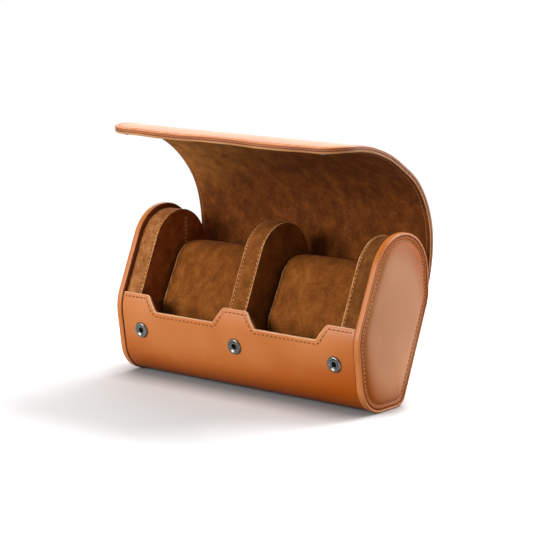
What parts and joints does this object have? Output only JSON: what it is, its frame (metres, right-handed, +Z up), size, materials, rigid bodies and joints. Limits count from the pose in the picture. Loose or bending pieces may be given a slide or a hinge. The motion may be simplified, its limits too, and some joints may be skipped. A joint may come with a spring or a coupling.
{
  "type": "watch travel case",
  "caption": "Leather roll case for carrying watches on removable pillows in separate bays, with padded end caps and a flexible lid that wraps over and snaps shut.",
  "frame": {"origin": "on the floor, under the middle of the whole part with its lid open", "axes": "+Z up, +X along the case to the right as seen from its open front, -Y towards the front panel"},
  "size_m": [0.181, 0.0905, 0.151],
  "materials": {
    "tan_leather": "smooth, softly glossy tan leather",
    "band_leather": "napped light brown suede",
    "suede": "dark brown suede",
    "board": "plain grey board, hidden",
    "foam": "plain foam, hidden",
    "gunmetal": "polished gunmetal"
  },
  "bodies": {
    "case": {"case_wrap": "tan_leather", "case_board": "board", "bay_lining_left": "suede", "bay_lining_right": "suede", "bay_seat_left": "foam", "bay_seat_right": "foam", "back_fold": "tan_leather", "front_snap_sockets": "gunmetal", "front_snap_backs": "gunmetal", "cap_rim_left": "tan_leather", "cap_rim_right": "tan_leather", "cap_lining_left": "tan_leather", "cap_lining_right": "tan_leather", "cap_board_left": "board", "cap_board_right": "board", "cap_face_left": "tan_leather", "cap_face_right": "tan_leather", "cap_foam_left": "foam", "cap_foam_right": "foam", "pad_band_left": "band_leather", "pad_band_right": "band_leather", "pad_face_left": "suede", "pad_face_right": "suede", "pad_foam_left": "foam", "pad_foam_right": "foam", "divider_band": "suede", "divider_face_left": "suede", "divider_face_right": "suede", "divider_core": "board"},
    "lid_rear": {"lid_rear_leather": "tan_leather", "lid_rear_board": "board", "lid_rear_suede": "suede", "lid_rear_fold": "tan_leather"},
    "lid_shoulder": {"lid_shoulder_leather": "tan_leather", "lid_shoulder_board": "board", "lid_shoulder_suede": "suede", "lid_shoulder_fold": "tan_leather"},
    "lid_top": {"lid_top_leather": "tan_leather", "lid_top_board": "board", "lid_top_suede": "suede", "lid_top_fold": "tan_leather"},
    "lid_slope": {"lid_slope_leather": "tan_leather", "lid_slope_board": "board", "lid_slope_suede": "suede", "lid_slope_fold": "tan_leather"},
    "lid_front": {"lid_front_leather": "tan_leather", "lid_front_board": "board", "lid_front_suede": "suede", "lid_snap_studs": "gunmetal", "lid_snap_backs": "gunmetal"},
    "pillow_left": {"pillow_cover_left": "suede", "pillow_foam_left": "foam", "pillow_ends_left": "suede"},
    "pillow_right": {"pillow_cover_right": "suede", "pillow_foam_right": "foam", "pillow_ends_right": "suede"}
  },
  "joints": [
    {"name": "lid_hinge", "type": "hinge", "parent": "case", "child": "lid_rear", "pos_m": [0, 0.03206, 0.0516], "axis": [1, 0, 0], "range_deg": [-16, 17.4]},
    {"name": "lid_bend_1", "type": "hinge", "parent": "lid_rear", "child": "lid_shoulder", "pos_m": [0, 0.04338, 0.0827], "axis": [1, 0, 0], "range_deg": [-20.61, 22.41]},
    {"name": "lid_bend_2", "type": "hinge", "parent": "lid_shoulder", "child": "lid_top", "pos_m": [0, 0.04041, 0.10041], "axis": [1, 0, 0], "range_deg": [-18.96, 20.62]},
    {"name": "lid_bend_3", "type": "hinge", "parent": "lid_top", "child": "lid_slope", "pos_m": [0, 0.03139, 0.11812], "axis": [1, 0, 0], "range_deg": [-21.73, 23.63]},
    {"name": "lid_bend_4", "type": "hinge", "parent": "lid_slope", "child": "lid_front", "pos_m": [0, -0.00019, 0.14192], "axis": [1, 0, 0], "range_deg": [-6.64, 7.22]},
    {"name": "pillow_left_lift", "type": "slide", "parent": "case", "child": "pillow_left", "axis": [0, -0.2588, 0.9659], "range_m": [0, 0.01]},
    {"name": "pillow_right_lift", "type": "slide", "parent": "case", "child": "pillow_right", "axis": [0, -0.2588, 0.9659], "range_m": [0, 0.01]}
  ],
  "couplings": [
    {"joint": "lid_bend_1", "follows": "lid_hinge", "ratio": 1.288},
    {"joint": "lid_bend_2", "follows": "lid_hinge", "ratio": 1.185},
    {"joint": "lid_bend_3", "follows": "lid_hinge", "ratio": 1.358},
    {"joint": "lid_bend_4", "follows": "lid_hinge", "ratio": 0.415}
  ]
}
